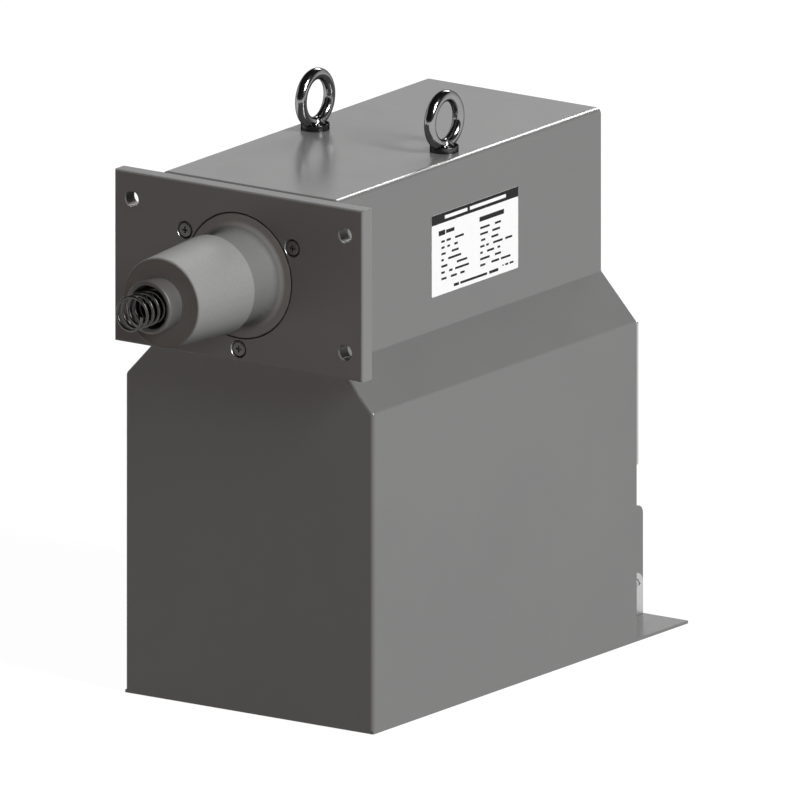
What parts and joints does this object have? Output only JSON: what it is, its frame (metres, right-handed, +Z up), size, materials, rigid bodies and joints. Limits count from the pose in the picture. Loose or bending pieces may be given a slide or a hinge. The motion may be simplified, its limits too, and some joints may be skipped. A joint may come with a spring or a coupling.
{
  "type": "voltage transformer",
  "caption": "Metal-cased plug-in voltage transformer: stepped sheet housing on a base plate, front mounting plate with a cast resin plug cone, lifting eyes and a rear terminal box.",
  "frame": {"origin": "middle of the base plate's underside", "axes": "+Z up, -Y out of the front along the plug cone's axis, +X to the right for someone who looks at the front"},
  "size_m": [0.2, 0.5087, 0.4015],
  "materials": {
    "grey_paint": "satin grey powder coat on sheet steel",
    "cast_resin": "cast epoxy resin, satin",
    "dark_contact": "dark plated contact sleeve",
    "spring_steel": "oiled spring wire",
    "polished_steel": "polished forged eyes",
    "bare_aluminium": "plain rolled sheet",
    "dark_screws": "blackened steel",
    "zinc_steel": "zinc plated",
    "core_steel": "wound silicon steel strip",
    "brass": "turned and cut brass",
    "copper_winding": "enamelled copper wire",
    "black_rubber": "moulded rubber",
    "lead_insulation": "insulated wire",
    "moulded_black": "moulded thermoset",
    "pressboard": "pressboard",
    "label_sheet": "white printed sheet with blank bars"
  },
  "bodies": {
    "root": {"casing_shell": "grey_paint", "rear_panel": "grey_paint", "mounting_plate": "grey_paint", "base_plate": "grey_paint", "terminal_box": "grey_paint", "terminal_cover": "grey_paint", "bushing": "cast_resin", "primary_coil": "cast_resin", "contact_sleeve": "dark_contact", "contact_spring": "spring_steel", "eye_bolt_left": "polished_steel", "eye_bolt_right": "polished_steel", "rear_cover": "bare_aluminium", "cable_entry_plate": "bare_aluminium", "flange_screws": "dark_screws", "rear_cover_screws": "zinc_steel", "plate_bolts": "zinc_steel", "flange_nuts": "zinc_steel", "terminal_cover_screws": "zinc_steel", "entry_plate_screws": "zinc_steel", "block_screws": "zinc_steel", "terminal_screws": "zinc_steel", "earth_nut": "zinc_steel", "earth_washer": "zinc_steel", "clamp_bolts": "zinc_steel", "clamp_nuts": "zinc_steel", "foot_nuts": "zinc_steel", "foot_studs": "zinc_steel", "lead_nuts": "zinc_steel", "lifting_bar": "zinc_steel", "core_clamp_left": "zinc_steel", "core_clamp_right": "zinc_steel", "core_band": "zinc_steel", "core_lower": "core_steel", "core_upper": "core_steel", "hv_conductor": "brass", "hv_lead": "brass", "earth_stud": "brass", "terminal_strips": "brass", "secondary_coil": "copper_winding", "plate_gasket": "black_rubber", "cable_grommet": "black_rubber", "lead_grommet": "black_rubber", "secondary_leads": "lead_insulation", "terminal_block": "moulded_black", "coil_former": "pressboard", "insulation_barrier": "pressboard", "core_pad": "pressboard", "rating_label": "label_sheet"}
  },
  "joints": []
}
